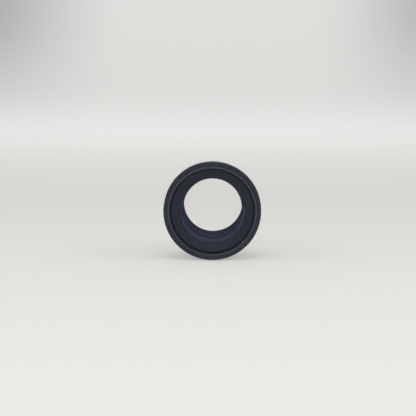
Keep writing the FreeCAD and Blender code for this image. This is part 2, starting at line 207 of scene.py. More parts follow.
studio = {
    "flatRadius": 0.62, "bendRadius": 0.30, "bendSteps": 16, "wallHeight": 0.95, "slices": 160,
    "paper": (0.80, 0.795, 0.78), "paintedShadePaper": (0.42, 0.415, 0.42),
    # the glows are painted light that the paper gives off itself
    "floorPaintedGlow": (0.366, 0.363, 0.343), "wallPaintedGlow": (0.468, 0.463, 0.455),
    "topPaintedGlow": (0.35, 0.348, 0.340), "paintedShadeGlow": (0.17, 0.17, 0.175),
    # where each painted shade and painted glow starts and ends, in metres sideways or up
    "shadeSide": (0.10, 0.32), "shadeHeight": (0.01, 0.17),
    "glowHeight": (-0.02, 0.03), "topHeight": (0.015, 0.08),
    "worldColour": (0.88, 0.93, 1.0), "worldStrength": 0.16,
}


def buildStudio():
    # one pale sheet runs flat under the part and sweeps up all round; it glows with painted light, and its
    # colour and glow carry painted shade
    floorZ = cadBounds[0][2]
    bend, slices = studio["bendRadius"], studio["slices"]
    profile = [(0.0, 0.0), (0.12, 0.0), (studio["flatRadius"], 0.0)]
    for step in range(1, studio["bendSteps"] + 1):
        turn = math.pi / 2 * step / studio["bendSteps"]
        profile.append((studio["flatRadius"] + bend * math.sin(turn), bend * (1 - math.cos(turn))))
    profile.append((profile[-1][0], studio["wallHeight"]))
    bm = bmesh.new()
    turns = [fullTurn * k / slices for k in range(slices)]
    rings = [[bm.verts.new((radius * math.cos(turn), radius * math.sin(turn), floorZ + height))
              for turn in turns] for radius, height in profile]
    for lower, upper in zip(rings, rings[1:]):
        for k in range(slices):
            after = (k + 1) % slices
            bm.faces.new((lower[k], lower[after], upper[after], upper[k]))
    bmesh.ops.remove_doubles(bm, verts=bm.verts, dist=1e-6)
    mesh = toMesh("studioPaper", bm)
    for face in mesh.polygons:
        face.use_smooth = True
    paper = putInScene("studioPaper", mesh)
    material, tree, shader = startMaterial("paper", {"Emission Strength": 1.0, "Roughness": 0.9,
                                                     "Specular IOR Level": 0.1})
    parts = addNode(tree, "ShaderNodeSeparateXYZ", {0: objectPoint(tree)})
    sideways = doMath(tree, "ABSOLUTE", parts.outputs[0])
    height = parts.outputs[2]
    # painted shade: the paper's colour darkens towards the sides and high up
    aside = ramp(tree, sideways, *studio["shadeSide"])
    high = ramp(tree, height, *studio["shadeHeight"])
    paintedShadeMask = doMath(tree, "MULTIPLY", aside, high)
    tone = blendColour(tree, paintedShadeMask, studio["paper"], studio["paintedShadePaper"])
    tree.links.new(tone, shader.inputs["Base Color"])
    # painted light: the paper glows more on the wall than on the floor, less high up and less where the
    # painted shade lies; the floor's glow lightens the part's shadow
    paintedGlow = blendColour(tree, ramp(tree, height, *studio["glowHeight"]), studio["floorPaintedGlow"],
                       studio["wallPaintedGlow"])
    paintedGlow = blendColour(tree, ramp(tree, height, *studio["topHeight"]), paintedGlow, studio["topPaintedGlow"])
    paintedGlow = blendColour(tree, paintedShadeMask, paintedGlow, studio["paintedShadeGlow"])
    tree.links.new(paintedGlow, shader.inputs["Emission Color"])
    mesh.materials.append(material)


lampSettings = [
    {"name": "softLeft", "at": (-0.50, -0.25, 0.42), "size": 0.2, "watts": 0.27, "colour": (1, 0.98, 0.95)},
    {"name": "softRight", "at": (0.50, -0.25, 0.42), "size": 0.2, "watts": 0.34, "colour": (1, 0.98, 0.96)},
    {"name": "softAbove", "at": (0.0, -0.60, 0.55), "size": 0.6, "watts": 1.38, "colour": (1, 0.98, 0.95)},
]


def hangLamps():
    for lamp in lampSettings:
        data = bpy.data.lights.new(lamp["name"], "AREA")
        data.shape = "SQUARE"
        data.size = lamp["size"]
        data.energy = lamp["watts"]
        data.color = lamp["colour"]
        holder = putInScene(lamp["name"], data)
        holder.location = lamp["at"]
        holder.rotation_euler = (-Vector(lamp["at"])).to_track_quat("-Z", "Y").to_euler()
    world = bpy.data.worlds.new("studioAir")
    world.use_nodes = True
    sky = world.node_tree.nodes["Background"]
    sky.inputs["Color"].default_value = (*studio["worldColour"], 1.0)
    sky.inputs["Strength"].default_value = studio["worldStrength"]
    scene.world = world
    scene.view_settings.view_transform = "Standard"
    scene.cycles.transparent_max_bounces = 32  # a ray down the axis crosses all four lenses


placeCamera()
buildStudio()
hangLamps()
print("camera, floor and light placed")


# ---- materials

softRubberLook = {
    "dark": (0.016, 0.020, 0.030), "pale": (0.024, 0.029, 0.041), "rubbed": (0.045, 0.052, 0.066),
    "mottleScale": 160.0, "grainScale": 2600.0, "grainDepth": 0.02 * mm, "grainStrength": 0.5,
    "smooth": 0.46, "rough": 0.64, "gloss": 0.36, "tint": (0.80, 0.89, 1.0), "wear": (0.53, 0.62),
}


def softRubber(name, look):
    material, tree, shader = startMaterial(name, {"Specular IOR Level": look["gloss"],
                                                  "Specular Tint": look["tint"]})
    mottle = spread(tree, grain(tree, look["mottleScale"]))
    body = blendColour(tree, mottle, look["dark"], look["pale"])
    worn = blendColour(tree, edgeWear(tree, *look["wear"]), body, look["rubbed"])
    fine = grain(tree, look["grainScale"], 2.0)
    coat(tree, shader, worn, fine, look)
    roughen(tree, shader, fine, look["grainDepth"], look["grainStrength"])
    return material


anodisedLook = {
    "dark": (0.014, 0.018, 0.028), "pale": (0.021, 0.026, 0.039), "bare": (0.10, 0.10, 0.11),
    "markScale": 2400.0, "markDepth": 0.006 * mm, "markStrength": 0.6,
    "smooth": 0.42, "rough": 0.56, "gloss": 0.36, "tint": (0.80, 0.89, 1.0), "wear": (0.58, 0.70),
}
# the inside's colours are the blackened metal's own dark tone plus a painted violet reflection of the lens
# coatings, so they are lighter and more violet than the anodised black
insideLook = {
    "dark": (0.062, 0.068, 0.120), "pale": (0.088, 0.096, 0.168),
    "markScale": 1500.0, "markDepth": 0.03 * mm, "markStrength": 0.7,
    "smooth": 0.62, "rough": 0.80, "gloss": 0.30, "tint": (1.0, 1.0, 1.0),
}


def turnedBlack(name, look):
    # blackened or anodised metal with tool marks; a look with "bare" is worn to it at the edges; the inside
    # look's colours also carry a painted violet reflection
    material, tree, shader = startMaterial(name, {"Specular IOR Level": look["gloss"],
                                                  "Specular Tint": look["tint"]})
    marks = turningMarks(tree, look["markScale"])
    body = blendColour(tree, spread(tree, marks), look["dark"], look["pale"])
    if "bare" in look:
        body = blendColour(tree, edgeWear(tree, *look["wear"]), body, look["bare"])
    coat(tree, shader, body, marks, look)
    roughen(tree, shader, marks, look["markDepth"], look["markStrength"])
    return material


metalLooks = {
    "chrome": {"pale": (0.66, 0.67, 0.69), "dark": (0.58, 0.59, 0.61), "smooth": 0.06, "rough": 0.15},
    "plainSteel": {"pale": (0.62, 0.61, 0.59), "dark": (0.42, 0.42, 0.41), "smooth": 0.22, "rough": 0.38},
    "blackSteel": {"pale": (0.075, 0.075, 0.08), "dark": (0.03, 0.03, 0.034), "smooth": 0.3, "rough": 0.5},
    "keyBrass": {"pale": (0.74, 0.57, 0.27), "dark": (0.52, 0.38, 0.16), "smooth": 0.25, "rough": 0.42},
}


metalSurface = {"markScale": 1900.0, "markDepth": 0.0015 * mm, "markStrength": 0.5, "cloudScale": 120.0}


def metal(name, look):
    material, tree, shader = startMaterial(name, {"Metallic": 1.0})
    marks = turningMarks(tree, metalSurface["markScale"])
    cloud = spread(tree, grain(tree, metalSurface["cloudScale"]))
    coat(tree, shader, blendColour(tree, cloud, look["pale"], look["dark"]), marks, look)
    roughen(tree, shader, marks, metalSurface["markDepth"], metalSurface["markStrength"])
    return material


def coatedGlass(name, look):
    # clear glass whose coated faces give a faint coloured reflection, stronger at a glancing angle
    material, tree, shader = startMaterial(name, {"Base Color": look["coating"], "Metallic": 1.0,
                                                  "Roughness": look["roughness"]})
    clear = addNode(tree, "ShaderNodeBsdfTransparent", {"Color": (*look["tint"], 1.0)})
    facing = addNode(tree, "ShaderNodeLayerWeight", {"Blend": 0.5}).outputs["Facing"]
    share = addNode(tree, "ShaderNodeMapRange", {"Value": doMath(tree, "POWER", facing, 5.0),
                                                 "To Min": look["headOn"], "To Max": look["edgeOn"]})
    mix = addNode(tree, "ShaderNodeMixShader", {0: share, 1: clear, 2: shader})
    tree.links.new(mix.outputs[0], tree.nodes["Material Output"].inputs["Surface"])
    return material


polymerLook = {"pale": (0.80, 0.80, 0.76), "dark": (0.70, 0.69, 0.64), "cloudScale": 300.0,
               "grainScale": 1800.0, "smooth": 0.40, "rough": 0.55, "gloss": 0.4}


def polymer(name, look):
    material, tree, shader = startMaterial(name, {"Specular IOR Level": look["gloss"]})
    cloud = spread(tree, grain(tree, look["cloudScale"]))
    fine = grain(tree, look["grainScale"])
    coat(tree, shader, blendColour(tree, cloud, look["pale"], look["dark"]), fine, look)
    return material


glassLooks = {
    # headOn and edgeOn are the shares of light that the coated face sends back
    "flint": {"coating": (0.44, 0.50, 1.0), "tint": (1.0, 0.998, 0.988), "roughness": 0.03,
              "headOn": 0.020, "edgeOn": 0.60},
    "crown": {"coating": (0.50, 0.62, 0.95), "tint": (1.0, 0.998, 0.990), "roughness": 0.03,
              "headOn": 0.008, "edgeOn": 0.60},
    "cement": {"coating": (0.80, 0.78, 0.60), "tint": (1.0, 1.0, 1.0), "roughness": 0.05,
               "headOn": 0.0002, "edgeOn": 0.02},
}
lipRubberLook = dict(softRubberLook, smooth=0.16, rough=0.26, gloss=0.9)
gripRubberLook = dict(softRubberLook, dark=(0.010, 0.011, 0.013), pale=(0.017, 0.018, 0.021),
                      rubbed=(0.040, 0.042, 0.046))
sealRubberLook = dict(softRubberLook, dark=(0.008, 0.008, 0.009), pale=(0.014, 0.014, 0.015),
                      rubbed=(0.020, 0.020, 0.021))

looks = {
    "soft_black_rubber": softRubber("softRubber", softRubberLook),
    "ribbed_black_rubber": softRubber("gripRubber", gripRubberLook),
    "seal_rubber": softRubber("sealRubber", sealRubberLook),
    "black_anodised": turnedBlack("anodisedBlack", anodisedLook),
    "blackened_inside": turnedBlack("insideBlackPaintedSheen", insideLook),
    "chromed_barrel": metal("chrome", metalLooks["chrome"]),
    "plain_steel": metal("plainSteel", metalLooks["plainSteel"]),
    "black_steel": metal("blackSteel", metalLooks["blackSteel"]),
    "key_brass": metal("keyBrass", metalLooks["keyBrass"]),
    "washer_polymer": polymer("washerPolymer", polymerLook),
    "optical_glass_flint": coatedGlass("flintGlass", glassLooks["flint"]),
    "optical_glass_crown": coatedGlass("crownGlass", glassLooks["crown"]),
}
cementFilm = coatedGlass("cementFilm", glassLooks["cement"])
lipRubber = softRubber("lipRubber", lipRubberLook)
print("materials made:", len(looks) + 2)


# ---- turned pieces

def roundedOutline(corners, steps=7):
    # a closed outline in millimetres through (radius, y, rounding) corners, with points beside each
    # rounding so that flat faces stay flat when shaded
    margin = 0.06
    outline = []
    count = len(corners)
    for i, corner in enumerate(corners):
        here = Vector(corner[:2])
        toBefore = Vector(corners[i - 1][:2]) - here
        toAfter = Vector(corners[(i + 1) % count][:2]) - here
        rounding = corner[2] if len(corner) > 2 else 0.0
        if rounding == 0.0:
            outline.append(here)
            continue
        back, ahead = toBefore.normalized(), toAfter.normalized()
        halfAngle = back.angle(ahead) / 2
        reach = rounding / math.tan(halfAngle)
        centre = here + (back + ahead).normalized() * (rounding / math.sin(halfAngle))
        start, end = here + back * reach, here + ahead * reach
        if toBefore.length > reach + 2 * margin:
            outline.append(start + back * margin)
        first, sweep = start - centre, (start - centre).angle_signed(end - centre)
        for step in range(steps + 1):
            outline.append(centre + Matrix.Rotation(-sweep * step / steps, 2) @ first)
        if toAfter.length > reach + 2 * margin:
            outline.append(end + ahead * margin)
    return outline


def latheMesh(name, outline, slices=224):
    # spins a closed outline (radius, y), in millimetres, about the optical axis
    bm = bmesh.new()
    rings = []
    for radius, y in outline:
        rings.append([bm.verts.new((radius * mm * math.cos(fullTurn * k / slices), y * mm,
                                    radius * mm * math.sin(fullTurn * k / slices))) for k in range(slices)])
    for i, ring in enumerate(rings):
        following = rings[(i + 1) % len(rings)]
        if outline[i][0] < 1e-6 and outline[(i + 1) % len(outline)][0] < 1e-6:
            continue
        for k in range(slices):
            after = (k + 1) % slices
            bm.faces.new((ring[k], ring[after], following[after], following[k]))
    bmesh.ops.remove_doubles(bm, verts=bm.verts, dist=1e-7)
    return toMesh(name, bm)


def smoothShade(mesh):
    # edges that turn more than 33 degrees stay sharp
    for face in mesh.polygons:
        face.use_smooth = True
    mesh.set_sharp_from_angle(angle=math.radians(33.0))


def hangPiece(name, mesh, body, slot, *replaced):
    smoothShade(mesh)
    piece = putInScene(name, mesh)
    if not mesh.materials:
        mesh.materials.append(looks[slot])
    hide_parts(*replaced)
    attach(piece, body)
    return piece


def turnedPiece(name, corners, body, slot, *replaced, steps=7):
    return hangPiece(name, latheMesh(name, roundedOutline(corners, steps)), body, slot, *replaced)


def paintInside(piece, finish, radius):
    # faces nearer the axis than radius, in millimetres, take another finish
    piece.data.materials.append(finish)
    for face in piece.data.polygons:
        if math.hypot(face.center.x, face.center.z) < radius * mm:
            face.material_index = 1


def carve(mesh, cutters):
    # cuts closed meshes out of a closed mesh
    stock = putInScene("stock", mesh)
    tools = []
    for cutter in cutters:
        tool = putInScene("tool", cutter)
        modifier = stock.modifiers.new("cut", "BOOLEAN")
        modifier.operation = "DIFFERENCE"
        modifier.solver = "EXACT"
        modifier.object = tool
        tools.append(tool)
    depsgraph = bpy.context.evaluated_depsgraph_get()
    carved = bpy.data.meshes.new_from_object(stock.evaluated_get(depsgraph), depsgraph=depsgraph)
    carved.name = mesh.name
    for spent in [stock, *tools]:
        bpy.data.objects.remove(spent)
    bm = bmesh.new()
    bm.from_mesh(carved)
    bmesh.ops.remove_doubles(bm, verts=bm.verts, dist=0.001 * mm)
    bmesh.ops.dissolve_degenerate(bm, edges=bm.edges, dist=0.001 * mm)
    bm.to_mesh(carved)
    bm.free()
    return carved


def atAngle(degrees):
    # turns a shape drawn beside the +X axis about the optical axis, towards +Z
    return Matrix.Rotation(-math.radians(degrees), 4, "Y")


def radialBar(radius, inner, outer, y, degrees, sides=40):
    # a round bar in millimetres that points away from the axis
    bm = bmesh.new()
    middle = Matrix.Translation(Vector(((inner + outer) / 2, y, 0.0)) * mm)
    bmesh.ops.create_cone(bm, cap_ends=True, segments=sides, radius1=radius * mm, radius2=radius * mm,
                          depth=(outer - inner) * mm,
                          matrix=atAngle(degrees) @ (middle @ Matrix.Rotation(math.pi / 2, 4, "Y")))
    return toMesh("bar", bm)


def radialBlock(inner, outer, width, front, back, degrees):
    # a block in millimetres whose width runs round the axis
    bm = bmesh.new()
    size = Matrix.Diagonal(((outer - inner) * mm, (back - front) * mm, width * mm, 1.0))
    place = Matrix.Translation(Vector(((inner + outer) / 2, (front + back) / 2, 0.0)) * mm)
    bmesh.ops.create_cube(bm, size=1.0, matrix=atAngle(degrees) @ place @ size)
    return toMesh("block", bm)


def ball(radius, at, degrees):
    bm = bmesh.new()
    bmesh.ops.create_icosphere(bm, subdivisions=4, radius=radius * mm,
                               matrix=atAngle(degrees) @ Matrix.Translation(Vector(at) * mm))
    return toMesh("ball", bm)


# ---- geometry nodes

def newTree(name, sockets):
    # sockets are labels and their types; the tree takes and gives one Geometry
    tree = bpy.data.node_groups.new(name, "GeometryNodeTree")
    tree.is_modifier = True
    tree.interface.new_socket("Geometry", in_out="INPUT", socket_type="NodeSocketGeometry")
    for label, kind in sockets.items():
        tree.interface.new_socket(label, in_out="INPUT", socket_type="NodeSocket" + kind)
    tree.interface.new_socket("Geometry", in_out="OUTPUT", socket_type="NodeSocketGeometry")
    return tree, addNode(tree, "NodeGroupInput").outputs


def vector(tree, x=0.0, y=0.0, z=0.0):
    return addNode(tree, "ShaderNodeCombineXYZ", {0: x, 1: y, 2: z}).outputs[0]


def endTree(tree, geometry, material):
    real = addNode(tree, "GeometryNodeRealizeInstances", {"Geometry": geometry})
    coloured = addNode(tree, "GeometryNodeSetMaterial", {"Geometry": real, "Material": material})
    addNode(tree, "NodeGroupOutput", {"Geometry": coloured})


def circle(tree, resolution, radius):
    return addNode(tree, "GeometryNodeCurvePrimitiveCircle", {"Resolution": resolution, "Radius": radius})


def sweep(tree, curve, profile, inputs):
    return addNode(tree, "GeometryNodeCurveToMesh", {"Curve": curve, "Profile Curve": profile, **inputs})


def ringCopies(tree, item, count, firstAngle):
    # copies of item turned about the optical axis
    points = addNode(tree, "GeometryNodePoints", {"Count": count})
    step = doMath(tree, "DIVIDE", fullTurn, count)
    turn = doMath(tree, "MULTIPLY", addNode(tree, "GeometryNodeInputIndex").outputs[0], step)
    angle = doMath(tree, "MULTIPLY", doMath(tree, "ADD", turn, firstAngle), -1.0)
    rotation = addNode(tree, "FunctionNodeEulerToRotation", {"Euler": vector(tree, y=angle)})
    return addNode(tree, "GeometryNodeInstanceOnPoints", {"Points": points, "Instance": item,
                                                          "Rotation": rotation})


def makeRingTree():
    # sets one item, drawn beside the +X axis, round the optical axis
    tree, given = newTree("setRound", {"Count": "Int", "First Angle": "Float", "Material": "Material"})
    copies = ringCopies(tree, given["Geometry"], given["Count"], given["First Angle"])
    endTree(tree, copies, given["Material"])
    return tree


def makeRibTree():
    # lengthwise ribs with rounded backs and tapered ends on a round part
    tree, given = newTree("lengthwiseRibs", {
        "Count": "Int", "Crest Radius": "Float", "Front": "Float", "Back": "Float", "Width": "Float",
        "Height": "Float", "Taper": "Float", "Material": "Material"})
    spine = addNode(tree, "GeometryNodeCurvePrimitiveLine", {"Start": vector(tree, y=given["Front"]),
                                                             "End": vector(tree, y=given["Back"])})
    points = addNode(tree, "GeometryNodeResampleCurve", {"Curve": spine, "Count": 13})
    along = addNode(tree, "GeometryNodeSplineParameter").outputs["Factor"]
    fromEnd = doMath(tree, "MINIMUM", along, doMath(tree, "SUBTRACT", 1.0, along))
    rise = doMath(tree, "MINIMUM", doMath(tree, "DIVIDE", fromEnd, given["Taper"]), 1.0)
    rounded = doMath(tree, "POWER", doMath(tree, "MAXIMUM", rise, 0.02), 0.5)
    swept = sweep(tree, points, circle(tree, 14, 1.0), {"Scale": rounded, "Fill Caps": True})
    centre = doMath(tree, "SUBTRACT", given["Crest Radius"], given["Height"])
    rib = addNode(tree, "GeometryNodeTransform", {
        "Geometry": swept, "Translation": vector(tree, x=centre),
        "Scale": vector(tree, given["Height"], 1.0, doMath(tree, "MULTIPLY", given["Width"], 0.5))})
    copies = ringCopies(tree, rib, given["Count"], 0.0)
    joined = addNode(tree, "GeometryNodeJoinGeometry", {"Geometry": given["Geometry"]})
    tree.links.new(copies.outputs[0], joined.inputs["Geometry"])
    endTree(tree, joined, given["Material"])
    return tree


def makeCoilTree():
    # a wire wound about a line parallel to the optical axis: a spring, or a thread's crest
    tree, given = newTree("coil", {
        "Coil Radius": "Float", "Pitch": "Float", "Turns": "Float", "Start": "Vector",
        "Wire Radius": "Float", "Wire Sides": "Int", "Steps": "Int", "Material": "Material"})
    rise = doMath(tree, "MULTIPLY", given["Pitch"], given["Turns"])
    spiral = addNode(tree, "GeometryNodeCurveSpiral", {
        "Resolution": given["Steps"], "Rotations": given["Turns"], "Start Radius": given["Coil Radius"],
        "End Radius": given["Coil Radius"], "Height": rise})
    wire = circle(tree, given["Wire Sides"], given["Wire Radius"])
    swept = sweep(tree, spiral, wire, {"Fill Caps": True})
    laid = addNode(tree, "GeometryNodeTransform", {
        "Geometry": swept, "Translation": given["Start"], "Rotation": (-math.pi / 2, 0.0, 0.0)})
    endTree(tree, laid, given["Material"])
    return tree


def makeRidgeTree():
    # parallel ridges round the inside of a tube, which break up stray light
    tree, given = newTree("insideRidges", {"Wall Radius": "Float", "Height": "Float", "Start": "Float",
                                           "Pitch": "Float", "Count": "Int", "Material": "Material"})
    swept = sweep(tree, circle(tree, 160, given["Wall Radius"]), circle(tree, 4, given["Height"]), {})
    upright = addNode(tree, "GeometryNodeTransform", {"Geometry": swept,
                                                      "Rotation": (math.pi / 2, 0.0, 0.0)})
    line = addNode(tree, "GeometryNodeMeshLine", {
        "Count": given["Count"], "Start Location": vector(tree, y=given["Start"]),
        "Offset": vector(tree, y=given["Pitch"])})
    copies = addNode(tree, "GeometryNodeInstanceOnPoints", {"Points": line, "Instance": upright})
    endTree(tree, copies, given["Material"])
    return tree


trees = {"setRound": makeRingTree(), "ribs": makeRibTree(), "coil": makeCoilTree(),
         "ridges": makeRidgeTree()}


def growPiece(name, tree, values, start, body, slot, *replaced):
    # runs a tree on a starting mesh, or on none, and hangs its result as a plain mesh
    carrier = putInScene("carrier", start or bpy.data.meshes.new("empty"))
    modifier = carrier.modifiers.new("grow", "NODES")
    modifier.node_group = trees[tree]
    values = {**values, "Material": looks[slot]}
    for item in trees[tree].interface.items_tree:
        if item.item_type == "SOCKET" and item.in_out == "INPUT" and item.name in values:
            modifier[item.identifier] = values[item.name]
    depsgraph = bpy.context.evaluated_depsgraph_get()
    mesh = bpy.data.meshes.new_from_object(carrier.evaluated_get(depsgraph), depsgraph=depsgraph)
    mesh.name = name
    bpy.data.objects.remove(carrier)
    return hangPiece(name, mesh, body, slot, *replaced)


def setRound(name, item, firstAngle, body, slot, node):
    # three of one item, which is drawn beside the +X axis
    values = {"Count": 3, "First Angle": math.radians(firstAngle)}
    growPiece(name, "setRound", values, item, body, slot, node)


print("node trees made:", len(trees))


# ---- eyecup

cup = spanOf("eyecup_rubber")
sleeve = spanOf("eyecup_sleeve")
eyecupShape = {
    "rimRadius": 21.05, "skirtRounding": 0.35, "rimRounding": 1.05, "valleyIn": 0.62, "valleyDepth": 0.36,
    "valleyRounding": 0.12, "beadSlope": 0.25, "innerBeadDepth": 0.2, "lipReach": 0.24, "lipDepth": 0.5,
    "lipRounding": (0.22, 0.15), "lipFinish": 0.2,  # how far inside the valley the smooth lip starts
    "beadHalf": 0.8, "beadRise": 0.4, "beadY": -27.0,
}
sleeveWall = sleeve["outer"] - eyecupShape["beadRise"]
guideShape = {
    "keyAngles": (0.0, 120.0, 240.0), "slotWidth": 2.6, "slotFloor": 18.65, "slotFront": -22.8,
    "pinAngle": 60.0, "pinRadius": 0.75, "pinSlack": 0.01, "pinHead": sleeveWall - 0.1, "pinY": -11.2,
    "screwSlot": 0.3, "screwSlotDepth": 0.4,
}


def sleeveBead():
    # the raised band that holds the cup on its sleeve, from front to back
    s = eyecupShape
    front, back = s["beadY"] - s["beadHalf"], s["beadY"] + s["beadHalf"]
    return [(sleeveWall, front - s["beadRise"]), (sleeve["outer"], front), (sleeve["outer"], back),
            (sleeveWall, back + s["beadRise"])]


def buildEyecupRubber():
    s = eyecupShape
    rim = cup["front"]
    valley = cup["inner"] + s["valleyIn"]
    lip = cup["inner"] - s["lipReach"]
    piece = turnedPiece("eyecupRubber", [
        (sleeveWall, cup["back"]), (cup["outer"], cup["back"], s["skirtRounding"]),
        (s["rimRadius"], rim, s["rimRounding"]), (valley, rim + s["valleyDepth"], s["valleyRounding"]),
        (valley - s["beadSlope"], rim + s["innerBeadDepth"], s["valleyRounding"]),
        (lip, rim + s["innerBeadDepth"], s["lipRounding"][0]),
        (lip, rim + s["lipDepth"], s["lipRounding"][1]),
        (cup["inner"], rim + s["lipDepth"] + s["lipReach"]), (cup["inner"], sleeve["front"]),
        (sleeveWall, sleeve["front"]), *sleeveBead(),
    ], "eyecup", "soft_black_rubber", "eyecup_rubber", steps=9)
    # the inner lip comes out of its mould smoother than the rest
    paintInside(piece, lipRubber, valley - s["lipFinish"])


def buildEyecupSleeve():
    g = guideShape
    mesh = latheMesh("eyecupSleeve", roundedOutline([
        (sleeve["inner"], sleeve["back"], 0.2), (sleeveWall, sleeve["back"], 0.2), *sleeveBead()[::-1],
        (sleeveWall, sleeve["front"]), (sleeve["inner"], sleeve["front"], 0.15),
    ]))
    cutters = [radialBlock(g["slotFloor"], sleeveWall + 1, g["slotWidth"], g["slotFront"],
                           sleeve["back"] + 1, angle) for angle in g["keyAngles"]]
    cutters += [radialBar(g["pinRadius"], sleeve["inner"] - 1, sleeveWall + 1, g["pinY"],
                          g["pinAngle"] + angle) for angle in g["keyAngles"]]
    hangPiece("eyecupSleeve", carve(mesh, cutters), "eyecup", "black_anodised", "eyecup_sleeve")


def buildGuidePins():
    g = guideShape
    head, y, slack = g["pinHead"], g["pinY"], g["pinSlack"]
    bar = radialBar(g["pinRadius"] - slack, spanOf("guide_pins")["inner"] + slack, head, y, 0.0)
    slot = radialBlock(head - g["screwSlotDepth"], head + 1, g["screwSlot"], y - 1, y + 1, 0.0)
    setRound("guidePins", carve(bar, [slot]), g["pinAngle"], "eyecup", "plain_steel", "guide_pins")


buildEyecupRubber()
buildEyecupSleeve()
buildGuidePins()
print("eyecup built")


# ---- twist collar

collar = spanOf("twist_collar")
grip = spanOf("collar_grip")
keys = spanOf("drive_keys")
collarShape = {
    "bore": 19.3, "outer": 20.2, "lipBack": -8.5, "flangeFront": -8.0, "lipGroundIn": 0.12,
    "endRounding": 0.3, "knurlCount": 132, "knurlWidth": 0.62, "knurlHeight": 0.3, "knurlTaper": 0.12,
    "knurlFront": 0.15, "knurlBack": 0.3,  # how far the knurl stops short of the lip's ends
    "keyTip": 18.75, "keyBack": 19.75, "keyWidth": 2.4, "keySlack": 0.02, "keyBevel": 0.15,
    "trackDepth": 0.45, "trackHalf": 0.45, "trackSlope": 0.2, "dimpleSlack": 0.2,
    "ballCircle": 19.2, "ballY": -6.75, "ballRadius": 0.6, "ballAngle": 90.0,
    "clickAngle": 40.0, "clicks": 4,
}
gripShape = {"ribs": 36, "ribWidth": 2.3, "ribHeight": 0.42, "ribTaper": 0.07, "ribIn": 0.35,
             "endBand": 1.15, "bandSlope": 0.2, "bandRise": 0.13, "rounding": 0.25}


def clickBall(slack, degrees):
    s = collarShape
    return ball(s["ballRadius"] + slack, (s["ballCircle"], s["ballY"], 0.0), degrees)


def buildTwistCollar():
    s = collarShape
    back, lip, circle = collar["back"], collar["outer"] - s["lipGroundIn"], s["ballCircle"]
    half, mouth = s["trackHalf"], s["trackHalf"] + s["trackSlope"]
    mesh = latheMesh("twistCollar", roundedOutline([
        (collar["inner"], back), (circle - mouth, back), (circle - half, back - s["trackDepth"]),
        (circle + half, back - s["trackDepth"]), (circle + mouth, back), (lip, back, s["endRounding"]),
        (lip, s["lipBack"]), (s["outer"], s["lipBack"]), (s["outer"], collar["front"], s["endRounding"]),
        (s["bore"], collar["front"]), (s["bore"], s["flangeFront"]), (collar["inner"], s["flangeFront"]),
    ]))
    cutters = [clickBall(s["dimpleSlack"], s["ballAngle"] - k * s["clickAngle"])
               for k in range(s["clicks"])]
    slack = s["keySlack"]
    cutters += [radialBlock(s["keyTip"] - slack, s["keyBack"] + slack, s["keyWidth"] + 2 * slack,
                            keys["front"] - slack, keys["back"] + slack, angle)
                for angle in guideShape["keyAngles"]]
    growPiece("twistCollar", "ribs", {
        "Count": s["knurlCount"], "Crest Radius": collar["outer"] * mm,
        "Front": (s["lipBack"] + s["knurlFront"]) * mm, "Back": (back - s["knurlBack"]) * mm,
        "Width": s["knurlWidth"] * mm, "Height": s["knurlHeight"] * mm, "Taper": s["knurlTaper"],
    }, carve(mesh, cutters), "collar", "black_anodised", "twist_collar")


def buildDriveKeys():
    s = collarShape
    bm = bmesh.new()
    bm.from_mesh(radialBlock(s["keyTip"], s["keyBack"], s["keyWidth"], keys["front"], keys["back"], 0.0))
    bmesh.ops.bevel(bm, geom=bm.edges[:], offset=s["keyBevel"] * mm, segments=3, affect="EDGES",
                    profile=0.5)
    setRound("driveKeys", toMesh("key", bm), 0.0, "collar", "key_brass", "drive_keys")


def buildCollarGrip():
    s = gripShape
    floor = grip["inner"] + s["bandRise"]
    front, back = grip["front"] + s["endBand"], grip["back"] - s["endBand"]
    mesh = latheMesh("collarGrip", roundedOutline([
        (grip["inner"], grip["front"]), (grip["outer"], grip["front"], s["rounding"]),
        (grip["outer"], front, s["rounding"]), (floor, front + s["bandSlope"], 0.1),
        (floor, back - s["bandSlope"], 0.1), (grip["outer"], back, s["rounding"]),
        (grip["outer"], grip["back"], s["rounding"]), (grip["inner"], grip["back"]),
    ], steps=5))
    growPiece("collarGrip", "ribs", {
        "Count": s["ribs"], "Crest Radius": grip["outer"] * mm, "Front": (front + s["ribIn"]) * mm,
        "Back": (back - s["ribIn"]) * mm, "Width": s["ribWidth"] * mm, "Height": s["ribHeight"] * mm,
        "Taper": s["ribTaper"],
    }, mesh, "collar", "ribbed_black_rubber", "collar_grip")


buildTwistCollar()
buildDriveKeys()
buildCollarGrip()
print("twist collar built")


# ---- housing

housing = spanOf("main_housing")
face = spanOf("face_ring")
skirt = spanOf("lower_skirt")
nose = spanOf("barrel")
cell = spanOf("lens_cell")
faceShape = {"skirtInner": 17.22, "backY": -25.8, "edgeRounding": 0.12, "landWidth": 0.2,
             "landRounding": 0.1, "dish": 1.3, "dishRounding": 0.2, "lip": 0.3}
housingShape = {
    "barrelSeat": 16.32, "boreStep": -7.3, "spigot": 17.5, "spigotFront": -4.0, "flangeFront": -6.6,
    "tube": 18.0, "tubeFront": -24.4, "frontSpigot": 17.2, "sealSeat": 16.65, "sealSeatY": -23.8,
    "snapFloor": 17.25, "snapY": (-9.02, -8.08), "frictionFloor": 17.2, "frictionY": (-22.55, -21.45),
    "grooveFloor": 17.0, "grooveHalf": 0.85, "lift": 8.0, "twist": 120.0,
    "accentDepth": 0.12, "accentWidth": 0.5,
}
skirtShape = {"slack": 0.02, "backRadius": 18.0, "coneFront": -3.0, "roundings": (0.1, 0.4, 0.8, 0.2)}
screwShape = {"radius": 0.85, "slack": 0.01, "y": -2.6, "firstAngle": 90.0, "inner": 17.02, "outer": 18.9,
              "bevel": 0.12, "socket": 0.8, "socketDepth": 0.9}


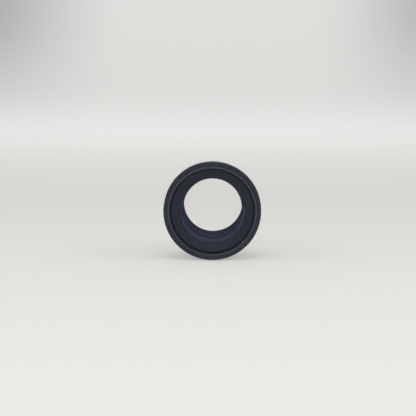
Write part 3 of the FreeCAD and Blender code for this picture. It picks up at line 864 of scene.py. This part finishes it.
def helicalBar(inner, outer, half, startY, lift, startAngle, twist, steps=40):
    # a bar of rectangular section that climbs towards the eye as it goes round
    bm = bmesh.new()
    sections = []
    slope = math.atan2(lift, math.radians(twist) * (inner + outer) / 2)
    for step in range(steps + 1):
        part = step / steps
        angle = math.radians(startAngle + twist * part)
        y = startY - lift * part
        reach = half / math.cos(slope)
        corners = [(inner, y - reach), (outer, y - reach), (outer, y + reach), (inner, y + reach)]
        sections.append([bm.verts.new((r * mm * math.cos(angle), c * mm, r * mm * math.sin(angle)))
                         for r, c in corners])
    for before, after in zip(sections, sections[1:]):
        for k in range(4):
            bm.faces.new((before[k], before[(k + 1) % 4], after[(k + 1) % 4], after[k]))
    bm.faces.new(sections[0])
    bm.faces.new(sections[-1])
    return toMesh("helicalBar", bm)


def buildMainHousing():
    s, g = housingShape, guideShape
    bore, flange = housing["inner"], housing["outer"]
    accentY = (s["flangeFront"] + s["spigotFront"]) / 2
    accentHalf = s["accentWidth"] / 2
    mesh = latheMesh("mainHousing", roundedOutline([
        (bore, s["boreStep"]), (s["barrelSeat"], s["boreStep"]), (s["barrelSeat"], housing["back"]),
        (s["spigot"], housing["back"], 0.2), (s["spigot"], s["spigotFront"]), (flange, s["spigotFront"]),
        (flange, accentY + accentHalf, 0.05), (flange - s["accentDepth"], accentY, 0.1),
        (flange, accentY - accentHalf, 0.05), (flange, s["flangeFront"], 0.35),
        (s["tube"], s["flangeFront"]), (s["tube"], s["snapY"][1]), (s["snapFloor"], s["snapY"][1]),
        (s["snapFloor"], s["snapY"][0]), (s["tube"], s["snapY"][0]), (s["tube"], s["frictionY"][1]),
        (s["frictionFloor"], s["frictionY"][1]), (s["frictionFloor"], s["frictionY"][0]),
        (s["tube"], s["frictionY"][0]), (s["tube"], s["tubeFront"]), (s["frontSpigot"], s["tubeFront"]),
        (s["frontSpigot"], housing["front"]), (s["sealSeat"], housing["front"]),
        (s["sealSeat"], s["sealSeatY"]), (bore, s["sealSeatY"]),
    ]))
    past = s["tube"] + 1
    cutters = []
    for angle in g["keyAngles"]:
        start = g["pinAngle"] + angle
        cutters.append(helicalBar(s["grooveFloor"], past, s["grooveHalf"], g["pinY"], s["lift"], start,
                                  s["twist"]))
        # the round ends are a hair off the groove's faces, so that no two faces of the cutters coincide
        for y, end in ((g["pinY"], start), (g["pinY"] - s["lift"], start + s["twist"])):
            cutters.append(radialBar(s["grooveHalf"] - 0.015, s["grooveFloor"] - 0.02, past + 0.3, y, end))
        cutters.append(radialBar(screwShape["radius"], s["spigot"] - 0.5, past, screwShape["y"],
                                 screwShape["firstAngle"] + angle))
    hangPiece("mainHousing", carve(mesh, cutters), "housing", "black_anodised", "main_housing")


def buildFaceRing():
    s = faceShape
    turnedPiece("faceRing", [
        (face["inner"], s["backY"]), (s["skirtInner"], s["backY"]), (s["skirtInner"], face["back"]),
        (face["outer"], face["back"]), (face["outer"], face["front"], s["edgeRounding"]),
        (face["outer"] - s["landWidth"], face["front"], s["landRounding"]),
        (face["inner"] + s["lip"], face["front"] + s["dish"], s["dishRounding"]),
        (face["inner"], face["front"] + s["dish"] + s["lip"]),
    ], "housing", "black_anodised", "face_ring")


def buildLowerSkirt():
    s = skirtShape
    spigot = housingShape["spigot"] + s["slack"]
    outer, rounding = skirt["outer"], s["roundings"]
    mesh = latheMesh("lowerSkirt", roundedOutline([
        (skirt["inner"], skirt["back"], rounding[0]), (s["backRadius"], skirt["back"], rounding[1]),
        (outer, s["coneFront"], rounding[2]), (outer, skirt["front"], rounding[3]), (spigot, skirt["front"]),
        (spigot, housing["back"]), (skirt["inner"], housing["back"]),
    ]))
    holes = [radialBar(screwShape["radius"], spigot - 0.5, outer + 1, screwShape["y"],
                       screwShape["firstAngle"] + angle) for angle in guideShape["keyAngles"]]
    hangPiece("lowerSkirt", carve(mesh, holes), "housing", "black_anodised", "lower_skirt")


def buildGrubScrews():
    s = screwShape
    outer, y = s["outer"], s["y"]
    bm = bmesh.new()
    bm.from_mesh(radialBar(s["radius"] - s["slack"], s["inner"], outer, y, 0.0))
    rimEdges = [e for e in bm.edges if all(v.co.x > (outer - 0.01) * mm for v in e.verts)]
    bmesh.ops.bevel(bm, geom=rimEdges, offset=s["bevel"] * mm, segments=2, affect="EDGES", profile=0.5)
    socket = radialBar(s["socket"] / math.sqrt(3), outer - s["socketDepth"], outer + 1, y, 0.0, sides=6)
    setRound("skirtGrubScrews", carve(toMesh("screw", bm), [socket]), s["firstAngle"], "housing",
             "black_steel", "skirt_grub_screws")


barrelShape = {
    "outer": 31.75 / 2, "relief": 15.5, "flangeBack": -1.2, "bore": 14.3, "mouthBevel": 0.3,
    "undercut": (7.5, 8.5, 16.0, 17.0), "undercutDepth": 0.6, "endRounding": 0.5, "shoulderRounding": 0.12,
    "thread": 14.1, "threadFront": 22.7, "threadPitch": 0.6, "threadHeight": 0.17, "threadSink": 0.05,
    "ridgeStart": 13.6, "ridgePitch": 0.75, "ridges": 12, "ridgeHeight": 0.22,
}


def buildBarrel():
    s = barrelShape
    outer, floor, cut = s["outer"], s["outer"] - s["undercutDepth"], s["undercut"]
    piece = turnedPiece("chromeBarrel", [
        (s["bore"], nose["front"]), (s["bore"], s["threadFront"]), (s["thread"], s["threadFront"]),
        (s["thread"], nose["back"] - s["mouthBevel"]), (s["thread"] + s["mouthBevel"], nose["back"]),
        (outer, nose["back"], s["endRounding"]), (outer, cut[3], 0.15), (floor, cut[2], 0.3),
        (floor, cut[1], 0.3), (outer, cut[0], 0.15), (outer, 0.0, s["shoulderRounding"]), (s["relief"], 0.0),
        (s["relief"], s["flangeBack"]), (nose["outer"], s["flangeBack"]), (nose["outer"], nose["front"]),
    ], "housing", "chromed_barrel", "barrel")
    paintInside(piece, looks["blackened_inside"], s["thread"] + s["mouthBevel"] + 0.1)
    turns = (nose["back"] - s["mouthBevel"] - s["threadFront"] - s["threadPitch"]) / s["threadPitch"]
    growPiece("filterThread", "coil", {
        "Coil Radius": (s["thread"] + s["threadSink"]) * mm, "Pitch": s["threadPitch"] * mm, "Turns": turns,
        "Start": (0.0, (s["threadFront"] + s["threadPitch"] / 2) * mm, 0.0),
        "Wire Radius": s["threadHeight"] * mm, "Wire Sides": 4, "Steps": 160,
    }, None, "housing", "blackened_inside")
    growPiece("barrelRidges", "ridges", {
        "Wall Radius": s["bore"] * mm, "Height": s["ridgeHeight"] * mm, "Start": s["ridgeStart"] * mm,
        "Pitch": s["ridgePitch"] * mm, "Count": s["ridges"]}, None, "housing", "blackened_inside")


knifeShape = {"edgeHalf": 0.1, "edgeRounding": 0.03, "bevel": 0.4}


def buildKnifeRings():
    half, rounding, bevel = knifeShape.values()
    for node, name in (("glare_baffle", "glareBaffle"), ("field_stop", "fieldStop")):
        ring = spanOf(node)
        inner, middle = ring["inner"], (ring["front"] + ring["back"]) / 2
        turnedPiece(name, [
            (inner, middle + half, rounding), (inner + bevel, middle + bevel),
            (ring["outer"], ring["back"]), (ring["outer"], ring["front"]),
            (inner + bevel, middle - bevel), (inner, middle - half, rounding),
        ], "housing", "blackened_inside", node)


buildMainHousing()
buildFaceRing()
buildLowerSkirt()
buildGrubScrews()
buildBarrel()
buildKnifeRings()
print("housing and barrel built")


# ---- optics and their rings

eyeY = spanOf("eye_lens_flint")["front"]
fieldY = spanOf("field_lens_flint")["back"]
lensShape = {"cementBend": 43.8, "innerBend": 57.7, "film": 0.004, "bevel": 0.15, "steps": 18,
             "flintCentre": 1.6, "crownCentre": 5.0}


def bentFace(vertexY, bend, radius, steps):
    # points from the axis outwards; a positive bend carries the edge away from the eye
    points = []
    for step in range(steps + 1):
        r = radius * step / steps
        sag = abs(bend) - math.sqrt(bend * bend - r * r) if bend else 0.0
        points.append(Vector((r, vertexY + math.copysign(sag, bend))))
    return points


def buildLens(name, node, frontY, frontBend, backY, backBend, slot, cemented):
    s = lensShape
    radius = spanOf(node)["outer"]
    front = bentFace(frontY, frontBend, radius - s["bevel"], s["steps"])
    back = bentFace(backY, backBend, radius - s["bevel"], s["steps"])
    edge = [Vector((radius, front[-1].y + s["bevel"])), Vector((radius, back[-1].y - s["bevel"]))]
    piece = hangPiece(name, latheMesh(name, front + edge + back[::-1], 160), "housing", slot, node)
    piece.data.materials.append(looks["blackened_inside"])
    piece.data.materials.append(cementFilm)
    for polygon in piece.data.polygons:
        distance = math.hypot(polygon.center.x, polygon.center.z)
        facesEye = polygon.normal.y < 0
        if distance > (radius - s["bevel"]) * mm:
            polygon.material_index = 1
        elif facesEye == (cemented == "front"):
            polygon.material_index = 2


def buildOptics():
    s = lensShape
    eyeCement, fieldCement = eyeY + s["flintCentre"], fieldY - s["flintCentre"]
    eyeInner, fieldInner = eyeCement + s["crownCentre"], fieldCement - s["crownCentre"]
    bend, inner, film = s["cementBend"], s["innerBend"], s["film"]
    flint, crown = "optical_glass_flint", "optical_glass_crown"
    buildLens("eyeLensFlint", "eye_lens_flint", eyeY, 0.0, eyeCement - film, bend, flint, "back")
    buildLens("eyeLensCrown", "eye_lens_crown", eyeCement, bend, eyeInner, -inner, crown, "front")
    buildLens("fieldLensCrown", "field_lens_crown", fieldInner, inner, fieldCement, -bend, crown, "back")
    buildLens("fieldLensFlint", "field_lens_flint", fieldCement + film, -bend, fieldY, 0.0, flint, "front")


cellShape = {"threadSlack": 0.02, "waist": 15.6, "flangeDepth": 1.0}
ringShape = {"slotWidth": 1.2, "slotDepth": 0.6, "snapGap": 5.0, "snapAngle": 30.0, "sealSides": 20}
springShape = {"wire": 0.1, "turns": 3.0}


def ringOutline(ring, inside=0.0, outside=0.0):
    # a rectangular section whose inner and outer corners may be rounded
    return [(ring["inner"], ring["back"], inside), (ring["outer"], ring["back"], outside),
            (ring["outer"], ring["front"], outside), (ring["inner"], ring["front"], inside)]


def buildLensCell():
    s = cellShape
    seat, front, back = cell["inner"], cell["front"], cell["back"]
    thread = spanOf("eye_retaining_ring")["outer"] + s["threadSlack"]
    turnedPiece("lensCell", [
        (seat, fieldY), (thread, fieldY), (thread, back, 0.1), (s["waist"], back, 0.2),
        (s["waist"], front + s["flangeDepth"]), (cell["outer"], front + s["flangeDepth"]),
        (cell["outer"], front, 0.1), (thread, front), (thread, eyeY), (seat, eyeY),
    ], "housing", "blackened_inside", "lens_cell")
    turnedPiece("lensSpacer", ringOutline(spanOf("lens_spacer")), "housing", "blackened_inside",
                "lens_spacer")


def buildRetainingRing(name, node, outwards):
    # spanner slots cross the face that is turned away from the glass
    ring = spanOf(node)
    mesh = latheMesh(name, roundedOutline(ringOutline(ring, 0.12, 0.08)))
    faceY = ring["front"] if outwards < 0 else ring["back"]
    deep = ringShape["slotDepth"]
    slots = [radialBlock(ring["inner"] - 1, ring["outer"] + 1, ringShape["slotWidth"], faceY - deep,
                         faceY + deep, angle) for angle in (0.0, 180.0)]
    hangPiece(name, carve(mesh, slots), "housing", "blackened_inside", node)


def buildSealRings():
    for node, name in (("cell_o_ring", "cellORing"), ("friction_o_ring", "frictionORing")):
        ring = spanOf(node)
        section = (ring["back"] - ring["front"]) / 2
        centre = Vector(((ring["inner"] + ring["outer"]) / 2, (ring["front"] + ring["back"]) / 2))
        turns = [fullTurn * k / ringShape["sealSides"] for k in range(ringShape["sealSides"])]
        outline = [centre + section * Vector((math.cos(turn), math.sin(turn))) for turn in turns]
        hangPiece(name, latheMesh(name, outline), "housing", "seal_rubber", node)


def buildSnapRing():
    ring = spanOf("collar_snap_ring")
    mesh = latheMesh("collarSnapRing", roundedOutline(ringOutline(ring, 0.08, 0.08), steps=3))
    gap = radialBlock(ring["inner"] - 1, ring["outer"] + 1, ringShape["snapGap"], ring["front"] - 1,
                      ring["back"] + 1, ringShape["snapAngle"])
    hangPiece("collarSnapRing", carve(mesh, [gap]), "housing", "black_steel", "collar_snap_ring")


def buildClickStop():
    turnedPiece("thrustWasher", ringOutline(spanOf("thrust_washer"), 0.04, 0.04), "housing",
                "washer_polymer", "thrust_washer", steps=3)
    hangPiece("detentBall", clickBall(0.0, collarShape["ballAngle"]), "housing", "plain_steel",
              "detent_ball")
    low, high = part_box("detent_spring")
    wire, turns = springShape["wire"] * mm, springShape["turns"]
    growPiece("detentSpring", "coil", {
        "Coil Radius": (high.x - low.x) / 2 - wire, "Pitch": (high.y - low.y - 2 * wire) / turns,
        "Turns": turns, "Start": ((low.x + high.x) / 2, low.y + wire, (low.z + high.z) / 2),
        "Wire Radius": wire, "Wire Sides": 10, "Steps": 32,
    }, None, "housing", "plain_steel", "detent_spring")


buildOptics()
buildLensCell()
buildRetainingRing("eyeRetainingRing", "eye_retaining_ring", -1)
buildRetainingRing("fieldRetainingRing", "field_retaining_ring", 1)
buildSealRings()
buildSnapRing()
buildClickStop()
print("optics and small parts built")
